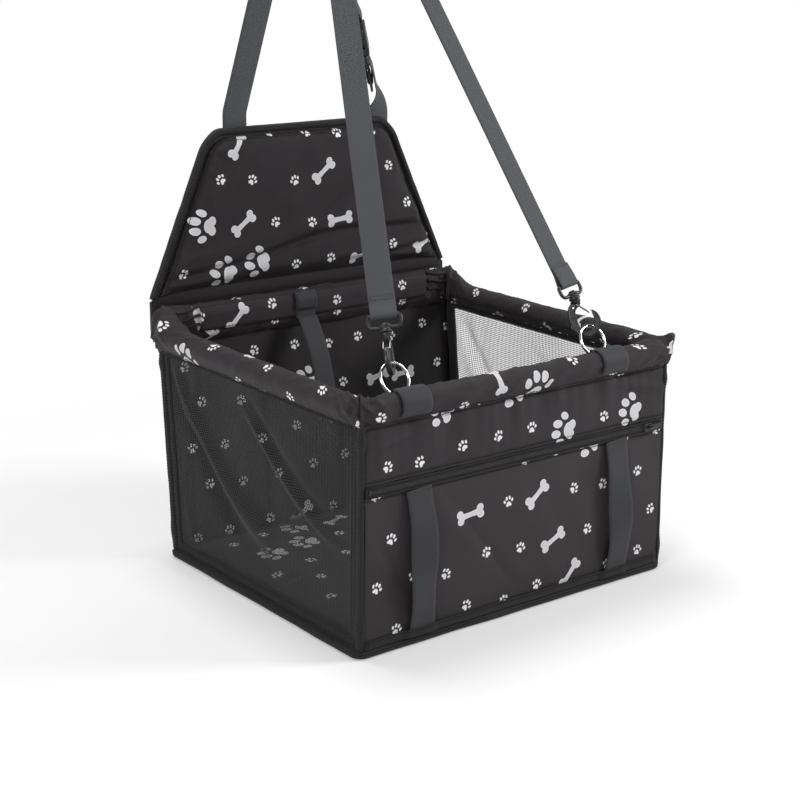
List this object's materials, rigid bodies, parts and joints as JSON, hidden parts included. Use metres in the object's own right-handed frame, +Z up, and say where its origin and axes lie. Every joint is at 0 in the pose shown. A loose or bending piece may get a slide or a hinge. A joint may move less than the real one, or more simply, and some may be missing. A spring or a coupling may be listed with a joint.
{
  "type": "dog car seat",
  "caption": "Soft open box seat for a small dog in a car, on a tube rim, with net sides, a zipped front pocket, a padded back panel, hooked shoulder straps and a harness tether.",
  "frame": {"origin": "middle of the underside of the base", "axes": "+X to the right along the front, +Y to the back, +Z up"},
  "size_m": [0.4104, 0.4053, 0.7691],
  "materials": {
    "printed_cloth": "black polyester with a printed pattern",
    "black_tape": "black binding tape",
    "net": "black knitted net",
    "grey_webbing": "grey webbing",
    "black_plastic": "moulded black plastic",
    "chrome": "chromed steel wire",
    "board": "stiff plastic board",
    "rim_tube": "white plastic tube"
  },
  "bodies": {
    "car_seat": {"base_edge_tape": "black_tape", "base_cloth": "printed_cloth", "base_board": "board", "floor_pad": "printed_cloth", "front_wall": "printed_cloth", "front_upper_panel": "printed_cloth", "front_pocket_panel": "printed_cloth", "front_band_left": "grey_webbing", "front_band_right": "grey_webbing", "left_mesh_frame": "black_tape", "left_mesh": "net", "right_mesh_frame": "black_tape", "right_mesh": "net", "rear_wall": "printed_cloth", "corner_tape_front_left": "black_tape", "corner_tape_front_right": "black_tape", "corner_tape_rear_left": "black_tape", "corner_tape_rear_right": "black_tape", "tether_strap": "grey_webbing"},
    "rim": {"rim_elbow_front_left": "black_plastic", "rim_elbow_front_right": "black_plastic", "rim_elbow_rear_left": "black_plastic", "rim_elbow_rear_right": "black_plastic", "rim_sleeve_front": "printed_cloth", "rim_sleeve_left": "printed_cloth", "rim_sleeve_rear": "printed_cloth", "rim_sleeve_right": "printed_cloth", "rim_tube_front": "rim_tube", "rim_tube_left": "rim_tube", "rim_tube_rear": "rim_tube", "rim_tube_right": "rim_tube", "ring_tab_left": "grey_webbing", "ring_tab_right": "grey_webbing", "panel_lower_strip": "printed_cloth"},
    "zip_band": {"zip_chain": "black_plastic"},
    "zip_slider": {"zip_slider": "black_plastic"},
    "zip_pull": {"zip_pull": "black_plastic"},
    "rings": {"ring_left": "chrome", "ring_right": "chrome"},
    "shoulder_strap": {"shoulder_strap_left": "grey_webbing", "shoulder_strap_right": "grey_webbing", "hook_left_eye": "black_plastic", "hook_right_eye": "black_plastic"},
    "hook_left": {"hook_left_body": "black_plastic"},
    "hook_left_gate": {"hook_left_gate": "chrome"},
    "hook_right": {"hook_right_body": "black_plastic"},
    "hook_right_gate": {"hook_right_gate": "chrome"},
    "back_panel": {"panel_padding": "printed_cloth", "panel_board": "board", "panel_rear_cloth": "printed_cloth", "panel_edge_tape": "black_tape", "headrest_strap_left": "grey_webbing", "headrest_strap_right": "grey_webbing", "headrest_strap_upper": "grey_webbing", "buckle_male": "black_plastic"},
    "buckle_female": {"buckle_female": "black_plastic"},
    "strap_glide": {"strap_glide": "black_plastic"},
    "tether_end": {"tether_hook_eye": "black_plastic"},
    "tether_hook": {"tether_hook_body": "black_plastic"},
    "tether_gate": {"tether_hook_gate": "chrome"}
  },
  "joints": [
    {"name": "rim_drop", "type": "slide", "parent": "car_seat", "child": "rim", "axis": [0, 0, 1], "range_m": [-0.18, 0], "deforming": ["front_wall", "front_upper_panel", "front_pocket_panel", "front_band_left", "front_band_right", "left_mesh_frame", "left_mesh", "right_mesh_frame", "right_mesh", "rear_wall", "corner_tape_front_left", "corner_tape_front_right", "corner_tape_rear_left", "corner_tape_rear_right", "tether_strap"]},
    {"name": "zip_drop", "type": "slide", "parent": "car_seat", "child": "zip_band", "axis": [0, 0, 1], "range_m": [-0.1225, 0]},
    {"name": "zip_run", "type": "slide", "parent": "zip_band", "child": "zip_slider", "axis": [1, 0, 0], "range_m": [-0.348, 0.006]},
    {"name": "zip_pull_turn", "type": "hinge", "parent": "zip_slider", "child": "zip_pull", "pos_m": [0.168, -0.17242, 0.161], "axis": [0, 0, 1], "range_deg": [-170, 0]},
    {"name": "ring_tip", "type": "hinge", "parent": "rim", "child": "rings", "pos_m": [0, -0.14885, 0.24129], "axis": [1, 0, 0], "range_deg": [0, 30]},
    {"name": "shoulder_strap_fold", "type": "hinge", "parent": "rings", "child": "shoulder_strap", "pos_m": [0, -0.13363, 0.26807], "axis": [1, 0, 0], "range_deg": [0, 75]},
    {"name": "hook_left_swivel", "type": "hinge", "parent": "shoulder_strap", "child": "hook_left", "pos_m": [-0.138, -0.13363, 0.26807], "axis": [0.2155, 0.493, 0.8429], "range_deg": [0, 90]},
    {"name": "hook_left_gate_swing", "type": "hinge", "parent": "hook_left", "child": "hook_left_gate", "pos_m": [-0.13207, -0.12112, 0.28806], "axis": [0.6905, -0.6873, 0.2254], "range_deg": [0, 25], "stiffness_Nm_per_rad": 0.01, "springref_deg": -11.46},
    {"name": "hook_right_swivel", "type": "hinge", "parent": "shoulder_strap", "child": "hook_right", "pos_m": [0.112, -0.13363, 0.26807], "axis": [-0.1718, 0.4974, 0.8504], "range_deg": [-90, 0]},
    {"name": "hook_right_gate_swing", "type": "hinge", "parent": "hook_right", "child": "hook_right_gate", "pos_m": [0.10713, -0.12099, 0.28827], "axis": [0.6966, 0.6717, -0.2521], "range_deg": [0, 25], "stiffness_Nm_per_rad": 0.01, "springref_deg": -11.46},
    {"name": "back_panel_fold", "type": "hinge", "parent": "rim", "child": "back_panel", "pos_m": [0, 0.2017, 0.2695], "axis": [1, 0, 0], "range_deg": [-90, 0]},
    {"name": "buckle_release", "type": "slide", "parent": "back_panel", "child": "buckle_female", "axis": [-0.2995, -0.086, 0.9502], "range_m": [0, 0.025], "deforming": ["headrest_strap_upper"]},
    {"name": "glide_run", "type": "slide", "parent": "back_panel", "child": "strap_glide", "axis": [-0.2995, -0.086, 0.9502], "range_m": [-0.018, 0.004], "deforming": ["headrest_strap_right"]},
    {"name": "tether_fall", "type": "slide", "parent": "car_seat", "child": "tether_end", "axis": [0, 0, 1], "range_m": [-0.0685, 0]},
    {"name": "tether_swivel", "type": "hinge", "parent": "tether_end", "child": "tether_hook", "pos_m": [-0.02, 0.1322, 0.09684], "axis": [0, 0, 1], "continuous": true},
    {"name": "tether_gate_swing", "type": "hinge", "parent": "tether_hook", "child": "tether_gate", "pos_m": [-0.021, 0.1322, 0.12114], "axis": [0, 1, 0], "range_deg": [0, 25], "stiffness_Nm_per_rad": 0.01, "springref_deg": -11.46}
  ],
  "couplings": [
    {"joint": "zip_drop", "follows": "rim_drop", "ratio": 0.678},
    {"joint": "tether_fall", "follows": "rim_drop", "ratio": 0.3778}
  ]
}
